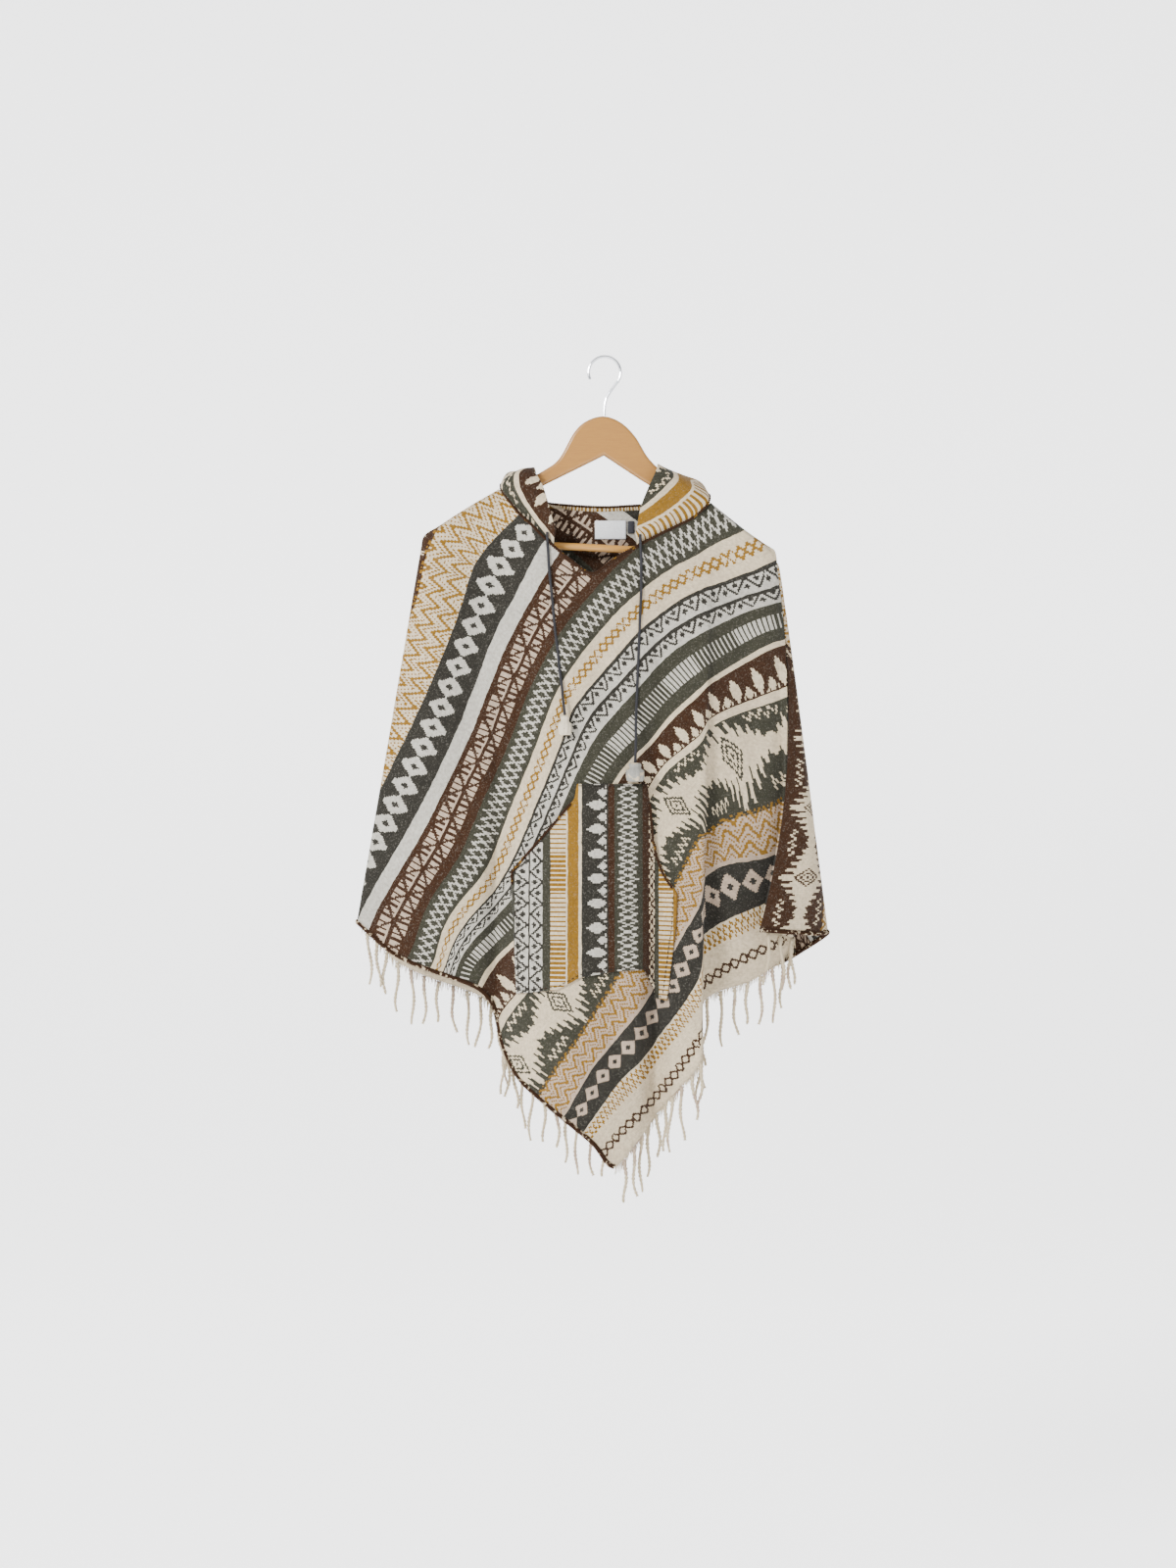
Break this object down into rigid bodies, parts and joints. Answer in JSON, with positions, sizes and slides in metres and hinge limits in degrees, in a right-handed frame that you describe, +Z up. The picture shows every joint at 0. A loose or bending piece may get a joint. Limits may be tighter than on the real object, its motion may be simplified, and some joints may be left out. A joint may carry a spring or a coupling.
{
  "type": "hooded blanket poncho on a wooden clothes hanger",
  "caption": "Hooded blanket poncho with striped and geometric bands, twisted fringe, front pocket and drawcords, hung on a wooden clothes hanger.",
  "frame": {"origin": "underside of the top of the hanger's hook, where it hangs on a rail", "axes": "+Z up, -Y towards the front of the garment, +X to the right in the front view"},
  "size_m": [0.5859, 0.204, 1.0388],
  "materials": {
    "blanket_cloth": "thick brushed blanket weave in cream, grey, mustard and brown bands",
    "fringe_yarn": "twisted cream yarn, soft and matt",
    "label": "plain white satin ribbon",
    "size_tab": "plain dark ribbon",
    "drawcord": "round braided black cord",
    "cord_end": "wrapped cream cloth",
    "hanger_wood": "clear satin varnish on pale wood",
    "bar_wood": "clear satin varnish on a turned pale rod",
    "hook_steel": "polished steel wire"
  },
  "bodies": {
    "root": {"front_panel": "blanket_cloth", "back_panel": "blanket_cloth", "hood": "blanket_cloth", "pocket": "blanket_cloth", "front_fringe": "fringe_yarn", "back_fringe": "fringe_yarn", "neck_label": "label", "size_tab": "size_tab", "drawcord_left": "drawcord", "drawcord_right": "drawcord", "cord_end_left": "cord_end", "cord_end_right": "cord_end", "hanger_body": "hanger_wood", "hanger_bar": "bar_wood", "hanger_hook": "hook_steel"}
  },
  "joints": []
}
